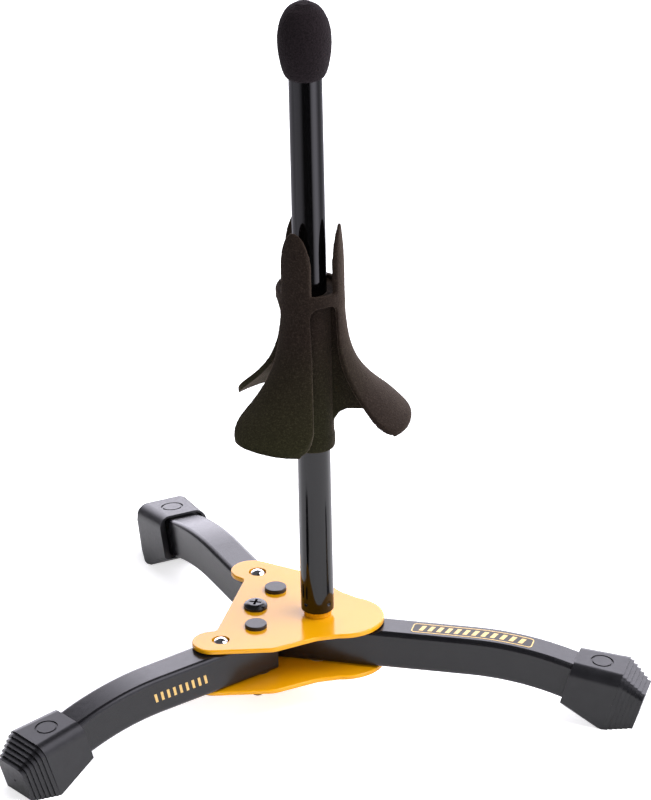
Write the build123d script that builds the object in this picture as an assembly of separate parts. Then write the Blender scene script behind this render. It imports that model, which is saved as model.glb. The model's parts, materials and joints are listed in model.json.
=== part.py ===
from build123d import *
import math
import os

# A folding tripod stand for a small straight saxophone. The bell drops over a flocked peg on a round post.
# The origin is on the floor, on the post's axis. The fixed centre leg points along +X, and +Z is up.
# All sizes are in millimetres.

# Post
POST_R = 8.0
POST_WALL = 1.2
POST_BOTTOM = 44.3
POST_TOP = 352.0
FLANGE_T = 1.6
CRIMP_Z = 49.2
CRIMP_R = 1.7
CRIMP_DEPTH = 0.7

# Hub: two identical stamped plates with the legs between them
PLATE_T = 2.0
TOP_PLATE_Z = 39.3
BOTTOM_PLATE_Z = 16.8
PLATE_GAP = TOP_PLATE_Z - BOTTOM_PLATE_Z - PLATE_T
NOSE = (12.5, 0.0)
NOSE_R = 20.0
LOBE = (-42.4, 38.0)
LOBE_R = 10.3
BACK_X = -43.6
SHOULDER = (-12.0, 40.0)
WAIST = (5.5, 24.6)
EDGE_ROUND = 0.7

# Leg tubes, bent down at their outer ends
LEG_W = 17.0
LEG_H = 19.2
LEG_CORNER = 2.4
LEG_WALL = 1.5
LEG_Z = 28.75
BEND_R = 150.0
TILT = 18.5
BEND_TO_FOOT = 23.2
TUBE_IN_FOOT = 18.0
CENTER_BEND_AT = 77.0
CENTER_INNER_END = -38.5
SWIVEL_BEND_AT = 62.0
SWIVEL_INNER_END = -6.7
LEG_BOTTOM = LEG_Z - LEG_H / 2
LEG_TOP = LEG_Z + LEG_H / 2

# Swivel pivots and their open direction, measured from the centre leg
PIVOT = (-25.9, 19.6)
OPEN_ANGLE = 128.5

# Ball detents, measured from the pivot along the leg
DETENT_AT = 21.3
BALL_R = 4.45
BALL_Z = 38.0
PLATE_HOLE_R = 4.3
SLEEVE_R = 5.9
SLEEVE_BORE_R = 4.75
SPRING_R = 3.4
SPRING_WIRE_R = 0.55
SPRING_TURNS = 5

# Fasteners
PIVOT_R = 3.0
PIVOT_HEAD_R = 5.3
PIVOT_HEAD_H = 2.0
PIVOT_BOLT_END = 4.6
PIVOT_NUT = 10.0
PIVOT_NUT_H = 6.0
BOLT_R = 4.0
BOLT_TOP = 68.0
BOLT_HEAD = 13.0
BOLT_HEAD_H = 5.3
BOLT_WASHER_R = 8.0
BOLT_WASHER_T = 1.6
SCREW_R = 2.5
SCREW_HEAD_R = 5.8
SCREW_HEAD_H = 2.9
SCREW_BELOW_PLATE = 7.0
SCREW_NUT = 8.0
SCREW_NUT_H = 5.0
SCREW_X = -31.0
HOLE_GAP = 0.1
RUNNING_GAP = 0.06
BUSH_R = 4.5
WASHER_R = 7.2
WASHER_PLAY = 0.05
SPACER_R = 5.6
COLLAR_R = 6.7
INSERT_H = 26.0
PLUG_H = 10.0

# Rubber feet, in the leg's own plane: x along the leg from the foot's reference point, z up
RIM_HALF_W = 12.4
FOOT_HALF_W = 14.4
FOOT_UNDERSIDE = [(-25.8, 11.1), (-7.4, 0.0)]
FOOT_RIM_TOP = (-19.5, 31.7)
FOOT_TOP_END = (5.0, 28.3)
FOOT_SHOULDER_R = 6.0
STEP_CORNER_R = 5.0
FOOT_STEPS = 6
STEP_LENGTH = 2.2
STEP_DROP = 1.15
STEP_INSET = 0.72
RIM_DEPTH = 3.5
RIM_SIDE_GAP = 2.1
RIM_TOP_GAP = 0.7
BADGE_R = 5.6
GROOVE = 1.0

# Flocked peg, with its petals' directions. A petal is a wedge that ends in half an ellipse
PETALS = [6.0, 131.75, 252.1]
PETAL_HALF_ANGLE = 32.5
PETAL_HALF_W = 20.8
PETAL_R = 47.6
PETAL_END = 12.0
CORE_R = 10.0
CORE_BORE_R = 8.02
CORE_BOTTOM = 132.4
ARCH_TOP = 211.5
SLOT_MIDDLE = 196.5
ARCH_R = 17.2
ARCH_CORNER_R = 5.0
COLLAR_FLOOR = 214.5
RIM_R = 16.4
RIM_Z = 217.0
TONGUE_ANGLES = [5.0, 122.0, 254.0]
TONGUE_HALF_W = 7.8
TONGUE_TOP = 249.8
TONGUE_CURVE = 20.0
TONGUE_OUTER = [(RIM_R, 212.0), (RIM_R, 226.0), (16.1, 238.0), (15.2, 249.0), (15.0, 252.0)]
TONGUE_INNER = [(13.8, 252.0), (13.8, 246.0), (14.0, 230.0), (14.0, 212.0)]
PETAL_OUTER = [(RIM_R, 213.0), (16.5, 205.0), (17.0, 198.0), (18.0, 190.0), (19.9, 182.5), (23.2, 175.0),
               (28.0, 168.0), (34.4, 161.2), (40.6, 155.4), (45.2, 150.8), (47.2, 147.4)]
PETAL_INNER = [(44.9, 146.9), (43.3, 149.2), (38.7, 153.6), (32.5, 159.3), (26.1, 166.2), (21.0, 173.3),
               (17.6, 180.9), (15.7, 189.0), (14.8, 197.5), (14.3, 205.0), (14.0, 213.0)]
RIB_T = 2.6
RIB_BOTTOM = 153.0

# Foam tip
TIP_LOW = [(8.9, 325.3), (10.9, 329.4), (11.8, 333.3), (12.5, 338.0)]
TIP_R = 12.8
TIP_WIDEST = 343.0
TIP_TOP = 362.8
TIP_FULLNESS = 2.25


def disc(radius, height, z, x=0.0, y=0.0):
    """A cylinder standing on height z."""
    return Pos(x, y, z) * Cylinder(radius, height, align=(Align.CENTER, Align.CENTER, Align.MIN))


def ring(outer, inner, height, z, x=0.0, y=0.0):
    """A washer or sleeve standing on height z."""
    return disc(outer, height, z, x, y) - disc(inner, height, z, x, y)


def hexagon(across, height, z, x=0.0, y=0.0):
    """A hexagonal prism standing on height z, with its corners turned off."""
    nut = extrude(Pos(x, y, z) * RegularPolygon(across / 2, 6, major_radius=False), height)
    corner = across / math.sqrt(3)
    turned = chamfer(disc(corner, height, z, x, y).edges().filter_by(GeomType.CIRCLE), 0.6)
    return nut & turned


def low_outer_edge(sleeve):
    """The outer circle at the bottom of an upright sleeve."""
    return sleeve.edges().filter_by(GeomType.CIRCLE).sort_by(Axis.Z)[:2].sort_by(SortBy.RADIUS)[-1:]


def mirrored(shape):
    """The right-hand twin of a left-hand piece."""
    return mirror(shape, about=Plane.XZ)


def on_left_leg(shape):
    """Put a piece made along +X from the pivot in its place on the left leg."""
    return Pos(PIVOT[0], PIVOT[1], 0) * Rot(0, 0, OPEN_ANGLE) * shape


# Plates

def plate_outline():
    lobe_turn = math.radians(17.5)
    nose_turn = math.radians(82)
    shoulder_start = (LOBE[0] + LOBE_R * math.sin(lobe_turn), LOBE[1] + LOBE_R * math.cos(lobe_turn))
    nose_touch = (NOSE[0] + NOSE_R * math.cos(nose_turn), NOSE_R * math.sin(nose_turn))
    back = [(BACK_X, 0), (BACK_X, LOBE[1] - LOBE_R / 2)]
    web = make_face(Polyline(*back, LOBE, shoulder_start, SHOULDER, WAIST, nose_touch, NOSE, close=True))
    web = web + Pos(*LOBE) * Circle(LOBE_R)
    outline = web + mirror(web, about=Plane.XZ) + Pos(*NOSE) * Circle(NOSE_R)
    inner_y = LOBE[1] - math.sqrt(LOBE_R**2 - (LOBE[0] - BACK_X) ** 2)
    for x, y, radius in ((*SHOULDER, 12), (*WAIST, 14), (BACK_X, inner_y, 3)):
        corners = outline.vertices().filter_by(lambda v: abs(v.X - x) < 0.8 and abs(abs(v.Y) - y) < 0.8)
        outline = fillet(corners, radius)
    return outline


def hub_plate(z, detents):
    plate = extrude(Pos(0, 0, z) * plate_outline(), PLATE_T)
    plate = fillet(plate.faces().sort_by(Axis.Z)[-1].edges(), EDGE_ROUND)
    plate -= disc(BOLT_R + HOLE_GAP, PLATE_T, z)
    plate -= disc(SCREW_R + HOLE_GAP, PLATE_T, z, SCREW_X)
    for side in (1, -1):
        plate -= disc(PIVOT_R + HOLE_GAP, PLATE_T, z, PIVOT[0], side * PIVOT[1])
        if detents:
            x, y = detent_place(side)
            plate -= disc(PLATE_HOLE_R, PLATE_T, z, x, y)
    return plate


def detent_place(side):
    angle = math.radians(OPEN_ANGLE)
    return PIVOT[0] + DETENT_AT * math.cos(angle), side * (PIVOT[1] + DETENT_AT * math.sin(angle))


# Legs

def leg_section(grow=0.0):
    return RectangleRounded(LEG_W + 2 * grow, LEG_H + 2 * grow, LEG_CORNER + grow)


def leg_path(inner_end, bend_at, straight=TUBE_IN_FOOT):
    tilt = math.radians(TILT)
    bend_end = (bend_at + BEND_R * math.sin(tilt), LEG_Z - BEND_R * (1 - math.cos(tilt)))
    middle = (bend_at + BEND_R * math.sin(tilt / 2), LEG_Z - BEND_R * (1 - math.cos(tilt / 2)))
    tube_end = (bend_end[0] + straight * math.cos(tilt), bend_end[1] - straight * math.sin(tilt))
    flat = Line((inner_end, 0, LEG_Z), (bend_at, 0, LEG_Z))
    bend = ThreePointArc((bend_at, 0, LEG_Z), (middle[0], 0, middle[1]), (bend_end[0], 0, bend_end[1]))
    end = Line((bend_end[0], 0, bend_end[1]), (tube_end[0], 0, tube_end[1]))
    return Wire([flat.edge(), bend.edge(), end.edge()])


def leg_tube(inner_end, bend_at):
    path = leg_path(inner_end, bend_at)
    start = Plane(origin=(inner_end, 0, LEG_Z), x_dir=(0, 1, 0), z_dir=(1, 0, 0))
    outer = sweep(start * leg_section(), path=path)
    return outer - sweep(start * leg_section(-LEG_WALL), path=path)


def center_leg_tube():
    tube = leg_tube(CENTER_INNER_END, CENTER_BEND_AT)
    tube -= disc(BOLT_R + HOLE_GAP, LEG_H, LEG_BOTTOM)
    return tube - disc(SCREW_R + HOLE_GAP, LEG_H, LEG_BOTTOM, SCREW_X)


def swivel_leg_tube():
    tube = leg_tube(SWIVEL_INNER_END, SWIVEL_BEND_AT)
    tube -= disc(BUSH_R + RUNNING_GAP, LEG_H, LEG_BOTTOM)
    return tube - disc(BALL_R + 0.15, 2 * LEG_WALL, LEG_TOP - 2 * LEG_WALL, DETENT_AT)


# Feet

def foot_cap(bend_at):
    """A rubber cap, made on a leg that points along +X."""
    tilt = math.radians(TILT)
    foot_x = bend_at + BEND_R * math.sin(tilt) + BEND_TO_FOOT
    along = (math.cos(tilt), 0, -math.sin(tilt))
    start_s = FOOT_TOP_END[0] * math.cos(tilt) - FOOT_TOP_END[1] * math.sin(tilt)
    top_t = FOOT_TOP_END[0] * math.sin(tilt) + FOOT_TOP_END[1] * math.cos(tilt)
    profile = FOOT_UNDERSIDE + [(start_s / math.cos(tilt), 0.0), FOOT_TOP_END, FOOT_RIM_TOP]
    face = make_face(Polyline(*[(x, 0, z) for x, z in profile], close=True))
    rim_x = FOOT_UNDERSIDE[0][0]
    end_x = FOOT_TOP_END[0]
    corners = [(rim_x, RIM_HALF_W), (rim_x, -RIM_HALF_W), (end_x, -FOOT_HALF_W), (end_x, FOOT_HALF_W)]
    plan = make_face(Polyline(*corners, close=True))
    cap = extrude(face, FOOT_HALF_W, dir=(0, 1, 0), both=True) & extrude(plan, 60)
    sides = cap.edges().filter_by(lambda e: abs((e % 0.5).X) > 0.8 and abs(e.center().Y) > RIM_HALF_W)
    cap = fillet(sides.filter_by(lambda e: e.center().Z > 25), FOOT_SHOULDER_R)
    sides = cap.edges().filter_by(lambda e: abs((e % 0.5).X) > 0.8 and abs(e.center().Y) > RIM_HALF_W)
    cap = chamfer(sides.filter_by(lambda e: 2 < e.center().Z < 8), 1.2)
    for i in range(1, FOOT_STEPS + 1):
        low_s = start_s + (i - 1) * STEP_LENGTH - 0.01
        plane = Plane(origin=_in_foot(low_s, 0), x_dir=(0, 1, 0), z_dir=along)
        top = top_t - i * STEP_DROP
        half_w = FOOT_HALF_W - i * STEP_INSET
        step = Pos(0, (top - 12) / 2, 0) * Rectangle(2 * half_w, top + 12)
        step = fillet(step.vertices().group_by(Axis.Y)[-1], STEP_CORNER_R - 0.3 * i)
        cap += extrude(plane * step, STEP_LENGTH + 0.01)
    cap &= Pos(0, 0, 30) * Box(100, 60, 60)
    cap -= foot_socket(along)
    cap -= foot_badge()
    return Pos(foot_x, 0, 0) * cap


def _in_foot(s, t):
    """A point in the foot's plane, s along the leg's end and t square to it."""
    tilt = math.radians(TILT)
    return (s * math.cos(tilt) + t * math.sin(tilt), 0, -s * math.sin(tilt) + t * math.cos(tilt))


def foot_socket(along):
    tilt = math.radians(TILT)
    bend_end_z = LEG_Z - BEND_R * (1 - math.cos(tilt))
    start = Plane(origin=(-BEND_TO_FOOT, 0, bend_end_z), x_dir=(0, 1, 0), z_dir=along)
    socket = extrude(start * leg_section(), TUBE_IN_FOOT)
    socket += extrude(start * leg_section(), -6)
    recess = RectangleRounded(LEG_W + 2 * RIM_SIDE_GAP, LEG_H + 2 * RIM_TOP_GAP, LEG_CORNER + RIM_TOP_GAP)
    recess = start * Pos(0, 0, -6) * recess
    rim_s = FOOT_RIM_TOP[0] * math.cos(tilt) - FOOT_RIM_TOP[1] * math.sin(tilt)
    middle_s = -BEND_TO_FOOT * math.cos(tilt) - bend_end_z * math.sin(tilt)
    return socket + extrude(recess, 6 + rim_s - middle_s + RIM_DEPTH)


def foot_badge():
    """A plain ring pressed into the top, and a small vent mark on the end."""
    middle = ((FOOT_RIM_TOP[0] + FOOT_TOP_END[0]) / 2, 0, (FOOT_RIM_TOP[1] + FOOT_TOP_END[1]) / 2)
    slope = math.degrees(math.atan2(FOOT_RIM_TOP[1] - FOOT_TOP_END[1], FOOT_TOP_END[0] - FOOT_RIM_TOP[0]))
    groove = Cylinder(BADGE_R, GROOVE) - Cylinder(BADGE_R - GROOVE, GROOVE)
    badge = Pos(*middle) * Rot(0, slope, 0) * groove
    end_s = FOOT_TOP_END[0] * math.cos(math.radians(TILT)) - FOOT_TOP_END[1] * math.sin(math.radians(TILT))
    end_s += FOOT_STEPS * STEP_LENGTH
    vent = Pos(*_in_foot(end_s, 11.5)) * Rot(0, 90 + TILT, 0) * Cylinder(0.7, 1.2)
    return badge + vent


# Pivots

def pivot_bolt():
    """A plain low head, a smooth shank and a rounded end under the nut."""
    top = TOP_PLATE_Z + PLATE_T
    head = chamfer(disc(PIVOT_HEAD_R, PIVOT_HEAD_H, top).edges().sort_by(Axis.Z)[-1:], 0.3)
    shank = disc(PIVOT_R, top - PIVOT_BOLT_END, PIVOT_BOLT_END)
    shank = fillet(shank.edges().sort_by(Axis.Z)[:1], 1.2)
    return Pos(*PIVOT, 0) * (head + shank)


def pivot_nuts():
    z = BOTTOM_PLATE_Z - PIVOT_NUT_H
    nut = Pos(*PIVOT, 0) * (hexagon(PIVOT_NUT, PIVOT_NUT_H, z) - disc(PIVOT_R, PIVOT_NUT_H, z))
    return Compound(children=[nut, mirrored(nut)])


def pivot_bush():
    return ring(BUSH_R, PIVOT_R + 0.03, PLATE_GAP, BOTTOM_PLATE_Z + PLATE_T, *PIVOT)


def pivot_washers():
    """Plain washers lie against each plate, and leave the leg a little play."""
    low_z = BOTTOM_PLATE_Z + PLATE_T
    low = ring(WASHER_R, BUSH_R + 0.05, LEG_BOTTOM - WASHER_PLAY - low_z, low_z, *PIVOT)
    high_z = LEG_TOP + WASHER_PLAY
    high = ring(WASHER_R, BUSH_R + 0.05, TOP_PLATE_Z - high_z, high_z, *PIVOT)
    return Compound(children=[low, high, mirrored(low), mirrored(high)])


# Ball detents

def detent_ball():
    return Pos(DETENT_AT, 0, BALL_Z) * Sphere(BALL_R)


def detent_sleeve():
    """Guides the ball inside the leg, between the tube's two walls."""
    low = LEG_BOTTOM + LEG_WALL
    return ring(SLEEVE_R, SLEEVE_BORE_R, LEG_H - 2 * LEG_WALL, low, DETENT_AT)


def detent_spring():
    low = LEG_BOTTOM + LEG_WALL + SPRING_WIRE_R
    high = BALL_Z - BALL_R - SPRING_WIRE_R + 0.9
    height = high - low
    coil = Helix(pitch=height / SPRING_TURNS, height=height, radius=SPRING_R)
    section = Plane(origin=coil @ 0, z_dir=coil % 0) * Circle(SPRING_WIRE_R)
    return Pos(DETENT_AT, 0, low) * sweep(section, path=coil, is_frenet=True)


# Hub screw and post bolt, both through the centre leg

def hub_screw():
    """A cross-recessed pan head."""
    top = TOP_PLATE_Z + PLATE_T
    head = fillet(disc(SCREW_HEAD_R, SCREW_HEAD_H, top).edges().sort_by(Axis.Z)[-1:], 2.2)
    arm = Pos(0, 0, top + SCREW_HEAD_H) * Box(6.0, 1.3, 3.4)
    head -= arm
    head -= Rot(0, 0, 90) * arm
    end = BOTTOM_PLATE_Z - SCREW_BELOW_PLATE
    shank = chamfer(disc(SCREW_R, top - end, end).edges().sort_by(Axis.Z)[:1], 0.5)
    return Pos(SCREW_X, 0, 0) * (head + shank)


def hub_screw_nut():
    z = BOTTOM_PLATE_Z - SCREW_NUT_H
    return Pos(SCREW_X, 0, 0) * (hexagon(SCREW_NUT, SCREW_NUT_H, z) - disc(SCREW_R, SCREW_NUT_H, z))


def tube_spacer(bore, x):
    """Keeps the fastener from crushing the centre leg."""
    return ring(SPACER_R, bore + HOLE_GAP, LEG_H - 2 * LEG_WALL, LEG_BOTTOM + LEG_WALL, x)


def center_leg_shims():
    """Thin shims fill the space between the centre leg and the plates."""
    shims = []
    for x, bore in ((0.0, BOLT_R), (SCREW_X, SCREW_R)):
        for z, top in ((BOTTOM_PLATE_Z + PLATE_T, LEG_BOTTOM), (LEG_TOP, TOP_PLATE_Z)):
            shims.append(ring(WASHER_R, bore + HOLE_GAP, top - z, z, x))
    return Compound(children=shims)


def post_bolt():
    head = BOTTOM_PLATE_Z - BOLT_WASHER_T
    shank = chamfer(disc(BOLT_R, BOLT_TOP - head, head).edges().sort_by(Axis.Z)[-1:], 0.8)
    return shank + hexagon(BOLT_HEAD, BOLT_HEAD_H, head - BOLT_HEAD_H)


def post_bolt_washer():
    return ring(BOLT_WASHER_R, BOLT_R + HOLE_GAP, BOLT_WASHER_T, BOTTOM_PLATE_Z - BOLT_WASHER_T)


# Post

def post_collar():
    z = TOP_PLATE_Z + PLATE_T
    collar = ring(COLLAR_R, BOLT_R + HOLE_GAP, POST_BOTTOM - z, z)
    return chamfer(low_outer_edge(collar), 0.25)


def post_insert():
    """The threaded slug that is crimped into the post's foot."""
    slug = ring(POST_R - POST_WALL, BOLT_R, INSERT_H, POST_BOTTOM)
    return slug - crimps()


def crimps():
    """Four round dents, pressed in a quarter turn apart."""
    dents = [Rot(0, 0, 59 + 90 * i) * Pos(POST_R + CRIMP_R - CRIMP_DEPTH, 0, CRIMP_Z) * Sphere(CRIMP_R)
             for i in range(4)]
    return Compound(children=dents)


def post_tube():
    tube = ring(POST_R, POST_R - POST_WALL, POST_TOP - POST_BOTTOM, POST_BOTTOM)
    return fillet(low_outer_edge(tube), 0.7) - crimps()


def post_plug():
    stem = disc(POST_R - POST_WALL, PLUG_H, POST_TOP - PLUG_H)
    flange = fillet(disc(POST_R, FLANGE_T, POST_TOP).edges().sort_by(Axis.Z)[-1:], 0.8)
    return stem + flange


def foam_tip():
    """A soft egg-shaped cap, closed over the end of the post."""
    bottom = TIP_LOW[0][1]
    height = TIP_TOP - TIP_WIDEST
    power = 2 / TIP_FULLNESS
    turns = [math.radians(15 * i) for i in range(6)]
    dome = [(TIP_R * math.cos(t) ** power, TIP_WIDEST + height * math.sin(t) ** power) for t in turns]
    side = Spline([(r, 0, z) for r, z in TIP_LOW + dome + [(0, TIP_TOP)]], tangents=[(1, 0, 1), (-1, 0, 0)])
    roof = POST_TOP + FLANGE_T
    inside = Polyline(side @ 1, (0, 0, roof), (POST_R, 0, roof), (POST_R, 0, bottom), side @ 0)
    return revolve(make_face(Wire([side.edge()] + list(inside.edges()))), Axis.Z)


# Peg

def radial_prism(face, angle, start, length):
    """Push a face, drawn with x sideways and y up, outward along a radius."""
    plane = Plane(origin=(start, 0, 0), x_dir=(0, 1, 0), z_dir=(1, 0, 0))
    return Rot(0, 0, angle) * extrude(plane * face, length)


def petal_plan():
    """One petal, seen from above."""
    wide = PETAL_R - PETAL_END
    corner = (PETAL_HALF_W / math.tan(math.radians(PETAL_HALF_ANGLE)), PETAL_HALF_W)
    half = make_face(Polyline((0, 0), corner, (wide, PETAL_HALF_W), (wide, 0), close=True))
    half = fillet(half.vertices().sort_by_distance(corner)[:1], 8.0)
    return half + mirror(half, about=Plane.XZ) + Pos(wide, 0) * Ellipse(PETAL_END, PETAL_HALF_W)


def petal_ring():
    outer = Spline([(r, 0, z) for r, z in PETAL_OUTER], tangents=[(0.1, 0, -1), (0.0, 0, -1)])
    inner = Spline([(r, 0, z) for r, z in PETAL_INNER], tangents=[(-0.1, 0, 1), (-0.05, 0, 1)])
    tip = Line(outer @ 1, inner @ 0)
    top = Line(inner @ 1, outer @ 0)
    return revolve(make_face(Wire([outer.edge(), tip.edge(), inner.edge(), top.edge()])), Axis.Z)


def petals():
    """One flared shell, cut into petals by arched slots."""
    shell = petal_ring()
    keep = disc(25, 30, SLOT_MIDDLE)
    for angle in PETALS:
        keep += Rot(0, 0, angle) * extrude(Pos(0, 0, 140) * petal_plan(), SLOT_MIDDLE - 140, dir=(0, 0, 1))
    shell &= keep
    for angle, following in zip(PETALS, PETALS[1:] + [PETALS[0] + 360]):
        start, end = angle + PETAL_HALF_ANGLE, following - PETAL_HALF_ANGLE
        width = 2 * ARCH_R * math.sin(math.radians((end - start) / 2))
        arch = Pos(0, SLOT_MIDDLE) * Rectangle(width, 2 * (ARCH_TOP - SLOT_MIDDLE))
        arch = fillet(arch.vertices().group_by(Axis.Y)[-1], ARCH_CORNER_R)
        shell -= radial_prism(arch, (start + end) / 2, CORE_R + 0.5, 14)
    return shell


def peg_collar():
    """The solid band over the slots, with a raised rim and the three tongues that the rim carries."""
    band = ring(TONGUE_INNER[-1][0] + 0.5, CORE_R - 0.5, COLLAR_FLOOR - ARCH_TOP, ARCH_TOP)
    outer = Spline([(r, 0, z) for r, z in TONGUE_OUTER])
    inner = Spline([(r, 0, z) for r, z in TONGUE_INNER])
    top, low = Line(outer @ 1, inner @ 0), Line(inner @ 1, outer @ 0)
    wall = revolve(make_face(Wire([outer.edge(), top.edge(), inner.edge(), low.edge()])), Axis.Z)
    dome = Pos(0, TONGUE_TOP - TONGUE_CURVE) * Ellipse(TONGUE_HALF_W, TONGUE_CURVE)
    foot = Pos(0, TONGUE_TOP - TONGUE_CURVE - 10) * Rectangle(2 * TONGUE_HALF_W, 20)
    keep = disc(30, RIM_Z - 205, 205)
    for angle in TONGUE_ANGLES:
        keep += radial_prism(dome + foot, angle, 5, 20)
    return band + (wall & keep)


def peg_ribs():
    """A web behind each petal joins it to the core."""
    curve = [(CORE_R - 0.5, 145.5), (CORE_R + 0.3, 146.8), (12.6, 150.6), (16.0, 152.6), (21.0, RIB_BOTTOM),
             (41.5, RIB_BOTTOM)]
    roof = [(r + 1.0, z) for r, z in PETAL_INNER[2:]] + [(CORE_R - 0.5, PETAL_INNER[-1][1])]
    face = make_face(Polyline(*[(r, 0, z) for r, z in curve + roof], close=True))
    rib = extrude(face, RIB_T / 2, dir=(0, 1, 0), both=True)
    return [Rot(0, 0, angle) * rib for angle in PETALS]


def velvet_peg():
    core = ring(CORE_R, CORE_BORE_R, COLLAR_FLOOR - CORE_BOTTOM, CORE_BOTTOM)
    skirt = ring(CORE_R + 0.4, CORE_BORE_R, 7.0, CORE_BOTTOM)
    skirt = fillet(skirt.edges().filter_by(GeomType.CIRCLE).sort_by(SortBy.RADIUS)[-2:], 0.39)
    peg = core + skirt + petals() + peg_collar()
    for rib in peg_ribs():
        peg += rib
    return peg


def main():
    os.makedirs("parts", exist_ok=True)
    nodes = {
        "top_plate": hub_plate(TOP_PLATE_Z, True),
        "bottom_plate": hub_plate(BOTTOM_PLATE_Z, False),
        "center_leg_tube": center_leg_tube(),
        "center_foot": foot_cap(CENTER_BEND_AT),
        "pivot_nuts": pivot_nuts(),
        "pivot_washers": pivot_washers(),
        "hub_screw": hub_screw(),
        "hub_screw_nut": hub_screw_nut(),
        "hub_screw_spacer": tube_spacer(SCREW_R, SCREW_X),
        "center_leg_shims": center_leg_shims(),
        "post_bolt": post_bolt(),
        "post_bolt_washer": post_bolt_washer(),
        "post_bolt_spacer": tube_spacer(BOLT_R, 0.0),
        "post_collar": post_collar(),
        "post_insert": post_insert(),
        "post_tube": post_tube(),
        "post_plug": post_plug(),
        "foam_tip": foam_tip(),
        "velvet_peg": velvet_peg(),
    }
    left = {
        "leg_tube": on_left_leg(swivel_leg_tube()),
        "foot": on_left_leg(foot_cap(SWIVEL_BEND_AT)),
        "detent_ball": on_left_leg(detent_ball()),
        "detent_spring": on_left_leg(detent_spring()),
        "detent_sleeve": on_left_leg(detent_sleeve()),
        "pivot_bolt": pivot_bolt(),
        "pivot_bush": pivot_bush(),
    }
    for name, shape in left.items():
        nodes["left_" + name] = shape
        nodes["right_" + name] = mirrored(shape)
    for name, shape in nodes.items():
        export_step(shape, f"parts/{name}.step")


main()
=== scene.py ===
import json
import math

import bpy
from mathutils import Matrix, Vector


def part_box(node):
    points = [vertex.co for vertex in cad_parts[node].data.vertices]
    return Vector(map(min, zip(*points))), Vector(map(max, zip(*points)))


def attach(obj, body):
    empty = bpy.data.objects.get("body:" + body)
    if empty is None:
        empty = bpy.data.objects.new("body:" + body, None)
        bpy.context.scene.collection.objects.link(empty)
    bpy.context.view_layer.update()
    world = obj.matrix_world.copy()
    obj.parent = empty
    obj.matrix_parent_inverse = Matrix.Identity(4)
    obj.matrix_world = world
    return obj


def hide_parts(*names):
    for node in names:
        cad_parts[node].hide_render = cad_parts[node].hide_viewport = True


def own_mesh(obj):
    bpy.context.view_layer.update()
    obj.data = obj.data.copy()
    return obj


# Looks for a folding peg stand: painted steel legs and hub, a flocked peg, rubber feet and a foam tip.
# Everything is in metres, in the CAD's frame: the post stands on the origin and the fixed leg points
# along +X.

MM = 0.001

# Camera: turned about the post, looking down
CAMERA_TURN = math.radians(14.23)
CAMERA_DROP = math.radians(26.163)
CAMERA_ROLL = math.radians(-1.2925)
CAMERA_AIM = (6.1 * MM, 0.0, 156.0 * MM)
CAMERA_DISTANCE = 3.766
CAMERA_LENS = 354.9

# Leg tubes, as the CAD has them
LEG_TOP = 38.35 * MM
LEG_HALF_W = 8.5 * MM
LEG_MIDDLE = 28.75 * MM
BEND_R = 150 * MM
CENTER_BEND_AT = 77 * MM
SWIVEL_BEND_AT = 62 * MM
LEG_TILT = math.radians(18.5)
PIVOT = (-25.9 * MM, 19.6 * MM)
OPEN_ANGLE = math.radians(128.5)

# Gold prints: the outlined bar on the fixed leg's top and the strokes on the right leg's side
PRINT_THICKNESS = 0.08 * MM
LABEL_START, LABEL_END = 47 * MM, 105 * MM
LABEL_HALF_W = 4.4 * MM
LABEL_LINE = 0.55 * MM
LABEL_CORNER = 1.8 * MM
LABEL_GROUND_INSET = 0.3 * MM
LABEL_MARGIN = 3.5 * MM
SIDE_START, SIDE_END = 36 * MM, 68 * MM

# Studio. The high window shines in from the right, seen from the camera's side
WALL_LIGHT = 4.2
ROOM_TINT = (1.0, 0.975, 1.1)
HIGH_WINDOW = (0.70, 0.0, 0.714)
NEAR_FLOOR_R = 0.42
FAR_FLOOR_R = 14.0


# Nodes and materials

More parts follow.
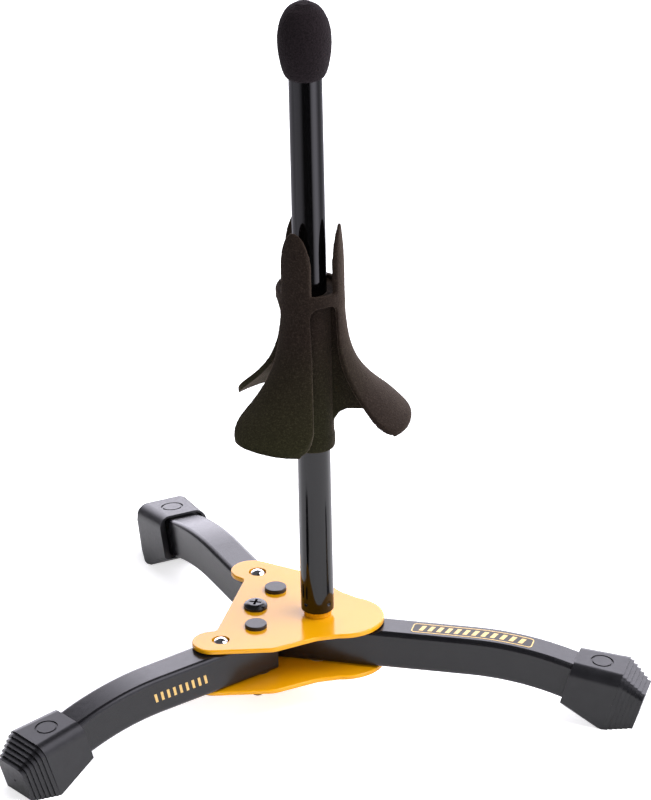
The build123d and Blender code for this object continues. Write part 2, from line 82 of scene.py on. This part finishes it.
class Paint:
    """A material's node tree, with short names for the nodes that most finishes need."""

    def __init__(self, name, color, roughness, metallic=0.0, **sockets):
        self.material = bpy.data.materials.new(name)
        self.material.use_nodes = True
        self.tree = self.material.node_tree
        self.shader = self.tree.nodes["Principled BSDF"]
        self.shader.inputs["Base Color"].default_value = (*color, 1)
        self.shader.inputs["Roughness"].default_value = roughness
        self.shader.inputs["Metallic"].default_value = metallic
        for key, value in sockets.items():
            self.shader.inputs[key.replace("_", " ")].default_value = value
        self.material.diffuse_color = (*color, 1)
        self.place = self.tree.nodes.new("ShaderNodeTexCoord").outputs["Object"]

    def node(self, kind, **inputs):
        made = self.tree.nodes.new(kind)
        for key, value in inputs.items():
            self.feed(made.inputs[key.replace("_", " ")], value)
        return made

    def feed(self, socket, value):
        if isinstance(value, bpy.types.NodeSocket):
            self.tree.links.new(value, socket)
        else:
            socket.default_value = value

    def noise(self, size, detail=3.0, roughness=0.55):
        """Soft spots of about this size, from 0 to 1."""
        made = self.node("ShaderNodeTexNoise", Vector=self.place, Scale=1 / size, Detail=detail,
                         Roughness=roughness)
        return made.outputs["Fac"]

    def cells(self, size):
        """Distance to the middle of the nearest cell."""
        return self.node("ShaderNodeTexVoronoi", Vector=self.place, Scale=1 / size).outputs["Distance"]

    def spread(self, value, low, high, start=0.3, end=0.7):
        """Map a noise value to the range low..high."""
        made = self.node("ShaderNodeMapRange", Value=value, From_Min=start, From_Max=end, To_Min=low,
                         To_Max=high)
        return made.outputs["Result"]

    def colors(self, value, stops):
        ramp = self.node("ShaderNodeValToRGB", Fac=value)
        elements = ramp.color_ramp.elements
        while len(elements) < len(stops):
            elements.new(0.5)
        for element, (at, color) in zip(elements, stops):
            element.position = at
            element.color = (*color, 1)
        return ramp.outputs["Color"]

    def color(self, socket):
        self.tree.links.new(socket, self.shader.inputs["Base Color"])

    def mottle(self, value, dark, light):
        """Color between two close shades by a noise value."""
        self.color(self.colors(value, [(0.3, dark), (0.7, light)]))

    def roughness(self, socket):
        self.tree.links.new(socket, self.shader.inputs["Roughness"])

    def bump(self, *heights):
        """Each height is (value, depth in metres); they add up."""
        normal = None
        for value, depth in heights:
            made = self.node("ShaderNodeBump", Height=value, Distance=depth, Strength=1.0)
            if normal is not None:
                self.tree.links.new(normal, made.inputs["Normal"])
            normal = made.outputs["Normal"]
        self.tree.links.new(normal, self.shader.inputs["Normal"])


def plate_paint():
    """Glossy yellow-orange powder coat with a faint orange peel."""
    paint = Paint("plate_paint", (0.69, 0.312, 0.002), 0.16, Specular_IOR_Level=0.42)
    paint.mottle(paint.noise(18 * MM), (0.675, 0.304, 0.0015), (0.705, 0.32, 0.003))
    paint.roughness(paint.spread(paint.noise(4 * MM), 0.12, 0.19))
    paint.bump((paint.noise(1.1 * MM, 2.0), 0.004 * MM), (paint.noise(5 * MM, 1.0), 0.008 * MM))
    return paint.material


def leg_paint():
    """Satin black powder coat."""
    paint = Paint("leg_paint", (0.006, 0.006, 0.007), 0.25, Specular_IOR_Level=0.4)
    paint.mottle(paint.noise(9 * MM), (0.005, 0.005, 0.006), (0.008, 0.008, 0.009))
    paint.roughness(paint.spread(paint.noise(3 * MM, 4.0), 0.20, 0.27))
    paint.bump((paint.noise(0.6 * MM, 1.0), 0.0015 * MM), (paint.noise(3 * MM, 1.0), 0.004 * MM))
    return paint.material


def post_paint():
    """Gloss black."""
    paint = Paint("post_paint", (0.001, 0.001, 0.001), 0.08, Specular_IOR_Level=0.43)
    paint.mottle(paint.noise(12 * MM), (0.0008, 0.0007, 0.0008), (0.0012, 0.0011, 0.0012))
    paint.roughness(paint.spread(paint.noise(6 * MM), 0.06, 0.11))
    paint.bump((paint.noise(1.4 * MM, 2.0), 0.003 * MM))
    return paint.material


def foot_rubber():
    paint = Paint("foot_rubber", (0.009, 0.009, 0.010), 0.32, Specular_IOR_Level=0.37)
    paint.mottle(paint.noise(6 * MM, 5.0), (0.0075, 0.0075, 0.0085), (0.011, 0.011, 0.0125))
    paint.roughness(paint.spread(paint.noise(1.5 * MM, 4.0), 0.28, 0.38))
    paint.bump((paint.noise(0.4 * MM, 2.0), 0.006 * MM), (paint.noise(3 * MM, 1.0), 0.012 * MM))
    return paint.material


def black_steel():
    paint = Paint("black_steel", (0.012, 0.012, 0.014), 0.36)
    paint.mottle(paint.noise(2 * MM, 4.0), (0.010, 0.010, 0.011), (0.020, 0.019, 0.021))
    paint.roughness(paint.spread(paint.noise(1.2 * MM), 0.3, 0.42))
    paint.bump((paint.noise(0.5 * MM, 2.0), 0.008 * MM))
    return paint.material


def screw_black():
    """Black oxide that has been polished by handling."""
    paint = Paint("screw_black", (0.006, 0.006, 0.006), 0.2)
    paint.mottle(paint.noise(1 * MM, 4.0), (0.004, 0.004, 0.004), (0.010, 0.009, 0.009))
    paint.roughness(paint.spread(paint.noise(0.9 * MM), 0.15, 0.28))
    paint.bump((paint.noise(0.5 * MM, 2.0), 0.006 * MM))
    return paint.material


def zinc_steel():
    paint = Paint("zinc_steel", (0.62, 0.62, 0.60), 0.34, metallic=1.0)
    paint.mottle(paint.noise(3 * MM, 4.0), (0.52, 0.52, 0.50), (0.68, 0.68, 0.66))
    paint.roughness(paint.spread(paint.noise(1.0 * MM, 4.0), 0.28, 0.46))
    paint.bump((paint.noise(0.4 * MM, 2.0), 0.008 * MM))
    return paint.material


def ball_chrome():
    paint = Paint("ball_chrome", (0.85, 0.85, 0.86), 0.05, metallic=1.0)
    paint.roughness(paint.spread(paint.noise(1.5 * MM), 0.03, 0.09))
    paint.bump((paint.noise(0.6 * MM, 1.0), 0.001 * MM))
    return paint.material


def spring_steel():
    paint = Paint("spring_steel", (0.45, 0.45, 0.46), 0.28, metallic=1.0)
    paint.roughness(paint.spread(paint.noise(0.8 * MM), 0.22, 0.36))
    paint.bump((paint.noise(0.3 * MM, 1.0), 0.003 * MM))
    return paint.material


def nylon():
    paint = Paint("white_nylon", (0.78, 0.77, 0.72), 0.5, Subsurface_Weight=0.1)
    paint.mottle(paint.noise(4 * MM), (0.74, 0.73, 0.68), (0.80, 0.79, 0.75))
    paint.bump((paint.noise(0.6 * MM), 0.01 * MM))
    return paint.material


def black_plastic():
    paint = Paint("black_plastic", (0.02, 0.02, 0.02), 0.45)
    paint.roughness(paint.spread(paint.noise(1.0 * MM), 0.4, 0.52))
    paint.bump((paint.noise(0.5 * MM), 0.008 * MM))
    return paint.material


def peg_velvet():
    """Short brown-black flock, with a painted greenish tint of reflected light low down on the left."""
    paint = Paint("peg_velvet", (0.011, 0.007, 0.006), 0.9, Sheen_Weight=0.14, Sheen_Roughness=0.4,
                  Sheen_Tint=(0.9, 0.69, 0.54, 1), Specular_IOR_Level=0.1)
    pile = paint.noise(0.7 * MM, 4.0, 0.7)
    brown = paint.colors(pile, [(0.30, (0.006, 0.0038, 0.0028)), (0.52, (0.0127, 0.0083, 0.006)),
                                (0.74, (0.036, 0.026, 0.019))])
    # Painted light: a greenish tint of reflected light, mixed in low down on the left of the peg.
    painted_olive_light = paint.colors(pile, [(0.30, (0.007, 0.0066, 0.0024)), (0.52, (0.0145, 0.014, 0.0058)),
                                (0.74, (0.036, 0.034, 0.016))])
    place = paint.node("ShaderNodeSeparateXYZ", Vector=paint.place)
    low = paint.spread(place.outputs["Z"], 1.0, 0.0, 150 * MM, 195 * MM)
    left = paint.spread(place.outputs["X"], 1.0, 0.0, 8 * MM, 30 * MM)
    painted_light_mask = paint.node("ShaderNodeMath")
    painted_light_mask.operation = "MULTIPLY"
    paint.feed(painted_light_mask.inputs[0], low)
    paint.feed(painted_light_mask.inputs[1], left)
    mix = paint.node("ShaderNodeMix")
    mix.data_type = "RGBA"
    paint.feed(mix.inputs["Factor"], painted_light_mask.outputs["Value"])
    colors = [socket for socket in mix.inputs if socket.type == "RGBA"]
    paint.feed(colors[0], brown)
    paint.feed(colors[1], painted_olive_light)
    paint.color([socket for socket in mix.outputs if socket.type == "RGBA"][0])
    paint.bump((paint.noise(0.45 * MM, 3.0, 0.7), 0.12 * MM), (paint.noise(6 * MM, 2.0), 0.12 * MM))
    return paint.material


def tip_foam():
    """Open-cell foam, with painted shade in its pores."""
    paint = Paint("tip_foam", (0.007, 0.005, 0.006), 0.95, Sheen_Weight=0.05, Sheen_Roughness=0.6,
                  Sheen_Tint=(0.8, 0.7, 0.74, 1), Specular_IOR_Level=0.06)
    # Painted shade: darker colour where the cells dent the surface, in the pores.
    paint.color(paint.colors(paint.cells(0.7 * MM), [(0.15, (0.0025, 0.0018, 0.002)),
                                                     (0.60, (0.0098, 0.007, 0.0082))]))
    paint.bump((paint.cells(0.7 * MM), 0.2 * MM), (paint.noise(0.4 * MM, 3.0), 0.1 * MM))
    return paint.material


def label_black():
    paint = Paint("label_black", (0.012, 0.010, 0.009), 0.45)
    paint.mottle(paint.noise(2 * MM), (0.010, 0.0085, 0.0075), (0.016, 0.0135, 0.012))
    paint.bump((paint.noise(0.5 * MM), 0.005 * MM))
    return paint.material


def gold_print():
    paint = Paint("gold_print", (0.62, 0.42, 0.14), 0.32, metallic=0.4)
    paint.mottle(paint.noise(1.5 * MM), (0.58, 0.38, 0.12), (0.70, 0.48, 0.18))
    paint.bump((paint.noise(0.4 * MM), 0.004 * MM))
    return paint.material


def floor_white():
    """Lit from within, as a light table is, so that shadows stay faint. Reflections see less of it."""
    paint = Paint("floor_white", (0.9, 0.9, 0.9), 0.9, Specular_IOR_Level=0.0)
    paint.shader.inputs["Emission Color"].default_value = (1, 1, 1, 1)
    seen = paint.node("ShaderNodeLightPath").outputs["Is Camera Ray"]
    paint.feed(paint.shader.inputs["Emission Strength"], paint.spread(seen, 0.15, 0.62, 0.0, 1.0))
    return paint.material


# Pieces

def new_piece(name, mesh, material, body, slot, *nodes):
    """Link a finished mesh as a piece that rides on a body and stands for these CAD nodes."""
    mesh.materials.clear()
    mesh.materials.append(material)
    piece = bpy.data.objects.new(name, mesh)
    bpy.context.scene.collection.objects.link(piece)
    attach(piece, body)
    if nodes:
        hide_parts(*nodes)
    return piece


def worked_copy(node, *modifiers):
    """A CAD node's mesh after some modifiers, each given as (type, {setting: value})."""
    source = frame["nodes"][node]
    holder = bpy.data.objects.new("work", source.data.copy())
    bpy.context.scene.collection.objects.link(holder)
    for kind, settings in modifiers:
        modifier = holder.modifiers.new(kind, kind)
        for key, value in settings.items():
            setattr(modifier, key, value)
    graph = bpy.context.evaluated_depsgraph_get()
    mesh = bpy.data.meshes.new_from_object(holder.evaluated_get(graph))
    bpy.data.objects.remove(holder)
    mesh.shade_smooth()
    return mesh


def fine_texture(name, kind, size, **settings):
    texture = bpy.data.textures.new(name, kind)
    texture.noise_scale = size
    for key, value in settings.items():
        setattr(texture, key, value)
    return texture


def velvet_peg(material):
    """The moulded peg with rounded edges and a thin uneven skin of flock."""
    pile = fine_texture("pile", "CLOUDS", 0.9 * MM, noise_depth=2)
    mesh = worked_copy("velvet_peg",
                       ("REMESH", {"mode": "VOXEL", "voxel_size": 0.5 * MM}),
                       ("SMOOTH", {"factor": 0.5, "iterations": 14}),
                       ("DISPLACE", {"texture": pile, "strength": 0.22 * MM, "mid_level": 0.2}))
    return new_piece("flocked_peg", mesh, material, "base", "peg_velvet", "velvet_peg")


def foam_tip(material):
    cells = fine_texture("foam_cells", "CLOUDS", 0.8 * MM, noise_depth=2)
    mesh = worked_copy("foam_tip",
                       ("REMESH", {"mode": "VOXEL", "voxel_size": 0.35 * MM}),
                       ("SMOOTH", {"factor": 0.5, "iterations": 6}),
                       ("DISPLACE", {"texture": cells, "strength": 0.5 * MM, "mid_level": 0.5}))
    tip = new_piece("foam_cap", mesh, material, "base", "tip_foam", "foam_tip")
    return tip


# Gold prints on the legs

def leg_spot(along, bend_at):
    """Middle of a leg's section at a distance from its pivot, and how far it leans down there."""
    lean = min(max((along - bend_at) / BEND_R, 0.0), LEG_TILT)
    past = max(along - bend_at - BEND_R * LEG_TILT, 0.0)
    x = min(along, bend_at) + BEND_R * math.sin(lean) + past * math.cos(lean)
    z = LEG_MIDDLE - BEND_R * (1 - math.cos(lean)) - past * math.sin(lean)
    return x, z, lean


def on_center_leg_top(along, across, lift):
    x, z, lean = leg_spot(along, CENTER_BEND_AT)
    up = LEG_TOP - LEG_MIDDLE + lift
    return Vector((x + up * math.sin(lean), across, z + up * math.cos(lean)))


def on_right_leg_side(along, across, lift):
    x, z, lean = leg_spot(along, SWIVEL_BEND_AT)
    spot = Vector((x + across * math.sin(lean), LEG_HALF_W + lift, z + across * math.cos(lean)))
    return Matrix.Rotation(-OPEN_ANGLE, 4, "Z") @ spot + Vector((PIVOT[0], -PIVOT[1], 0))


def ribbon(name, bands, place, material, body, thickness=PRINT_THICKNESS):
    """Thin raised print. Each band lies between two rails of (along, across) points, and may be closed."""
    points, faces = [], []
    for left, right, closed in bands:
        start, count = len(points), len(left)
        for lift in (thickness, -PRINT_THICKNESS):
            for rail in (left, right):
                points += [place(along, across, lift) for along, across in rail]
        top_left, top_right, low_left, low_right = (start + i * count for i in range(4))
        for i in range(count if closed else count - 1):
            j = (i + 1) % count
            faces.append((top_left + i, top_right + i, top_right + j, top_left + j))
            faces.append((low_left + i, top_left + i, top_left + j, low_left + j))
            faces.append((top_right + i, low_right + i, low_right + j, top_right + j))
            faces.append((low_right + i, low_left + i, low_left + j, low_right + j))
        if not closed:
            faces.append((top_left, low_left, low_right, top_right))
            end = count - 1
            faces.append((top_right + end, low_right + end, low_left + end, top_left + end))
    mesh = bpy.data.meshes.new(name)
    mesh.from_pydata(points, [], faces)
    mesh.validate()
    return new_piece(name, mesh, material, body, "leg_paint")


def frame_band(start, end, half_w, line, corner):
    """A rounded outline, as an outer and an inner rail."""
    rails = []
    for inset in (0.0, line):
        radius = corner - inset
        points = []
        for middle_s, middle_t, turn in (
                (end - corner, half_w - corner, 0), (start + corner, half_w - corner, 90),
                (start + corner, corner - half_w, 180), (end - corner, corner - half_w, 270)):
            for step in range(7):
                angle = math.radians(turn + 15 * step)
                points.append((middle_s + radius * math.cos(angle), middle_t + radius * math.sin(angle)))
        rails.append(divided(points, 3 * MM))
    return rails[0], rails[1], True


def fill_band(start, end, half_w, parts):
    """Two straight rails, for a filled strip."""
    runs = [start + (end - start) * i / parts for i in range(parts + 1)]
    return [(along, half_w) for along in runs], [(along, -half_w) for along in runs]


def divided(points, longest):
    """Add points along a closed line's long runs, so that it can follow a bend."""
    made = []
    for (s0, t0), (s1, t1) in zip(points, points[1:] + points[:1]):
        parts = 20 if math.hypot(s1 - s0, t1 - t0) > longest else 1
        made += [(s0 + (s1 - s0) * i / parts, t0 + (t1 - t0) * i / parts) for i in range(parts)]
    return made


def strokes(start, end, count, width, half_h, slant):
    """A row of plain slanted strokes."""
    pitch = (end - start - width - slant) / (count - 1)
    made = []
    for i in range(count):
        low = start + i * pitch
        lower = [(low + width * k / 3, -half_h) for k in range(4)]
        upper = [(along + slant, half_h) for along, _ in lower]
        made.append((upper, lower, False))
    return made


# Set-up

def camera():
    lens = bpy.data.cameras.new("camera")
    lens.lens = CAMERA_LENS
    lens.sensor_width = 36
    lens.clip_start, lens.clip_end = 0.1, 50
    holder = bpy.data.objects.new("camera", lens)
    bpy.context.scene.collection.objects.link(holder)
    forward = Vector((0, math.cos(CAMERA_DROP), -math.sin(CAMERA_DROP)))
    level_up = Vector((0, math.sin(CAMERA_DROP), math.cos(CAMERA_DROP)))
    side = Vector((1, 0, 0)) * math.cos(CAMERA_ROLL) + level_up * math.sin(CAMERA_ROLL)
    up = level_up * math.cos(CAMERA_ROLL) - Vector((1, 0, 0)) * math.sin(CAMERA_ROLL)
    axes = Matrix((side, up, -forward)).transposed().to_4x4()
    place = Matrix.Translation(Vector(CAMERA_AIM) - forward * CAMERA_DISTANCE)
    holder.matrix_world = Matrix.Rotation(CAMERA_TURN, 4, "Z") @ place @ axes
    bpy.context.scene.camera = holder


def ramp(nodes, stops):
    """A ramp from (position, brightness) pairs in the room's slightly cool white."""
    made = nodes.new("ShaderNodeValToRGB")
    elements = made.color_ramp.elements
    while len(elements) < len(stops):
        elements.new(0.5)
    for element, (at, value) in zip(elements, stops):
        element.position = at
        element.color = room_white(value)
    return made


def room_white(value):
    return (*(value * part for part in ROOM_TINT), 1)


def blend_colors(tree, factor, first, second):
    mix = tree.nodes.new("ShaderNodeMix")
    mix.data_type = "RGBA"
    tree.links.new(factor, mix.inputs["Factor"])
    colors = [socket for socket in mix.inputs if socket.type == "RGBA"]
    for socket, value in zip(colors, (first, second)):
        if isinstance(value, tuple):
            socket.default_value = value
        else:
            tree.links.new(value, socket)
    return [socket for socket in mix.outputs if socket.type == "RGBA"][0]


def smooth_step(tree, value, low, high):
    made = tree.nodes.new("ShaderNodeMapRange")
    made.interpolation_type = "SMOOTHSTEP"
    made.inputs["From Min"].default_value = low
    made.inputs["From Max"].default_value = high
    tree.links.new(value, made.inputs["Value"])
    return made.outputs["Result"]


def studio():
    """A white room with a bright back wall, a dark ceiling and a dark space towards the camera."""
    world = bpy.data.worlds.new("studio")
    bpy.context.scene.world = world
    world.use_nodes = True
    tree = world.node_tree
    nodes, links = tree.nodes, tree.links
    nodes.clear()
    direction = nodes.new("ShaderNodeTexCoord").outputs["Generated"]
    turn = nodes.new("ShaderNodeMapping")
    turn.vector_type = "VECTOR"
    turn.inputs["Rotation"].default_value = (0, 0, -CAMERA_TURN)
    links.new(direction, turn.inputs["Vector"])
    around = nodes.new("ShaderNodeTexGradient")
    around.gradient_type = "RADIAL"
    links.new(turn.outputs["Vector"], around.inputs["Vector"])
    # Both ramps run round from the left (0) past the camera (0.25), the right (0.5) and the back (0.75)
    walls = ramp(nodes, [(0.0, 0.02), (0.12, 0.04), (0.2, 0.04), (0.3, 0.05), (0.38, 0.35), (0.5, 0.3),
                         (0.58, 0.4), (0.66, 1.0), (0.82, 1.0), (0.88, 0.05)])
    ground = ramp(nodes, [(0.0, 0.22), (0.08, 0.24), (0.12, 0.22), (0.19, 0.012), (0.325, 0.012),
                          (0.36, 0.45), (0.40, 0.62), (0.44, 0.55), (0.475, 0.28), (0.51, 0.12),
                          (0.57, 0.11), (0.64, 0.18), (0.75, 0.18), (0.88, 0.15)])
    for made in (walls, ground):
        links.new(around.outputs["Fac"], made.inputs["Fac"])
    split = nodes.new("ShaderNodeSeparateXYZ")
    links.new(direction, split.inputs["Vector"])
    height = split.outputs["Z"]
    horizon = smooth_step(tree, height, -0.02, 0.06)
    sides = blend_colors(tree, horizon, ground.outputs["Color"], walls.outputs["Color"])
    roofed = blend_colors(tree, smooth_step(tree, height, 0.50, 0.70), sides, room_white(0.02))
    toward = nodes.new("ShaderNodeVectorMath")
    toward.operation = "DOT_PRODUCT"
    toward.inputs[1].default_value = HIGH_WINDOW
    links.new(turn.outputs["Vector"], toward.inputs[0])
    window = smooth_step(tree, toward.outputs["Value"], 0.88, 0.95)
    room_color = blend_colors(tree, window, roofed, room_white(0.8))
    room = nodes.new("ShaderNodeBackground")
    room.inputs["Strength"].default_value = WALL_LIGHT
    links.new(room_color, room.inputs["Color"])
    seen = nodes.new("ShaderNodeBackground")
    seen.inputs["Color"].default_value = (1, 1, 1, 1)
    seen.inputs["Strength"].default_value = 1.0
    path = nodes.new("ShaderNodeLightPath")
    pick = nodes.new("ShaderNodeMixShader")
    links.new(path.outputs["Is Camera Ray"], pick.inputs["Fac"])
    links.new(room.outputs["Background"], pick.inputs[1])
    links.new(seen.outputs["Background"], pick.inputs[2])
    links.new(pick.outputs["Shader"], nodes.new("ShaderNodeOutputWorld").inputs["Surface"])


def soft_light(name, azimuth, elevation, distance, size, energy):
    """A round soft light aimed at the post. Azimuth 0 is the camera's side and grows to the right."""
    lamp = bpy.data.lights.new(name, "AREA")
    lamp.shape = "DISK"
    lamp.size = size
    lamp.energy = energy
    holder = bpy.data.objects.new(name, lamp)
    bpy.context.scene.collection.objects.link(holder)
    turn = math.radians(azimuth - 90) + CAMERA_TURN
    rise = math.radians(elevation)
    away = Vector((math.cos(turn) * math.cos(rise), math.sin(turn) * math.cos(rise), math.sin(rise)))
    holder.location = away * distance
    holder.rotation_mode = "QUATERNION"
    holder.rotation_quaternion = away.to_track_quat("Z", "Y")
    holder.visible_glossy = False


def floor_piece(name, material, inner, outer, glossy):
    """A flat ring of floor. Only the part near the object shows in reflections."""
    corners = 96
    points = [(r * math.cos(i * math.tau / corners), r * math.sin(i * math.tau / corners), 0)
              for r in (inner, outer) for i in range(corners)]
    if inner:
        faces = [(i, i + corners, (i + 1) % corners + corners, (i + 1) % corners) for i in range(corners)]
    else:
        points, faces = points[corners:], [tuple(range(corners))]
    mesh = bpy.data.meshes.new(name)
    mesh.from_pydata(points, [], faces)
    mesh.materials.append(material)
    ground = bpy.data.objects.new(name, mesh)
    bpy.context.scene.collection.objects.link(ground)
    ground.visible_glossy = glossy


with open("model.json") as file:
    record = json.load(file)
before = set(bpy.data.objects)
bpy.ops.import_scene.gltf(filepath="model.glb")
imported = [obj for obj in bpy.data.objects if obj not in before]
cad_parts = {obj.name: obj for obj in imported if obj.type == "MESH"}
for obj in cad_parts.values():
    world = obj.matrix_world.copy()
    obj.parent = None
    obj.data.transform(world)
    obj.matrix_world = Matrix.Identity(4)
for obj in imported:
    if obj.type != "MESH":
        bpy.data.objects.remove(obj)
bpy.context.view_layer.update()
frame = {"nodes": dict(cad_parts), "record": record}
bpy.context.scene.view_settings.view_transform = "Standard"

finishes = {
    "plate_paint": plate_paint(), "leg_paint": leg_paint(), "post_paint": post_paint(),
    "foot_rubber": foot_rubber(), "black_steel": black_steel(), "zinc_steel": zinc_steel(),
    "ball_chrome": ball_chrome(), "spring_steel": spring_steel(), "white_nylon": nylon(),
    "black_plastic": black_plastic(), "peg_velvet": peg_velvet(), "tip_foam": tip_foam(),
}
for part in frame["record"]["subparts"]:
    shown = frame["nodes"][part["node"]]
    for material_slot in shown.material_slots:
        material_slot.material = finishes[part["material_slot"]]
for material_slot in frame["nodes"]["hub_screw"].material_slots:
    material_slot.material = screw_black()

camera()
studio()
soft_light("key", azimuth=70, elevation=62, distance=1.8, size=1.5, energy=30)
soft_light("fill", azimuth=-10, elevation=30, distance=2.5, size=1.2, energy=12)
white = floor_white()
floor_piece("near_floor", white, 0.0, NEAR_FLOOR_R, glossy=True)
floor_piece("far_floor", white, NEAR_FLOOR_R, FAR_FLOOR_R, glossy=False)

velvet_peg(finishes["peg_velvet"])
foam_tip(finishes["tip_foam"])

gold = gold_print()
ribbon("center_label_ground",
       [(*fill_band(LABEL_START + LABEL_GROUND_INSET, LABEL_END - LABEL_GROUND_INSET,
                    LABEL_HALF_W - LABEL_GROUND_INSET, 24), False)],
       on_center_leg_top, label_black(), "base", PRINT_THICKNESS / 2)
ribbon("center_label",
       [frame_band(LABEL_START, LABEL_END, LABEL_HALF_W, LABEL_LINE, LABEL_CORNER)]
       + strokes(LABEL_START + LABEL_MARGIN, LABEL_END - LABEL_MARGIN, count=12, width=2.1 * MM,
                 half_h=2.5 * MM, slant=1.2 * MM),
       on_center_leg_top, gold, "base")
ribbon("side_strokes",
       strokes(SIDE_START, SIDE_END, count=9, width=1.5 * MM, half_h=2.3 * MM, slant=1.0 * MM),
       on_right_leg_side, gold, "right_leg")

for side in ("left", "right"):
    low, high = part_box(f"{side}_detent_ball")
    ball = new_piece(f"{side}_ball", worked_copy(f"{side}_detent_ball"), finishes["ball_chrome"],
                     f"{side}_ball", "ball_chrome", f"{side}_detent_ball")
    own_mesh(ball)
    low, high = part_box(f"{side}_detent_spring")
    spring = new_piece(f"{side}_spring", worked_copy(f"{side}_detent_spring"), finishes["spring_steel"],
                       f"{side}_leg", "spring_steel", f"{side}_detent_spring")
    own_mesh(spring)
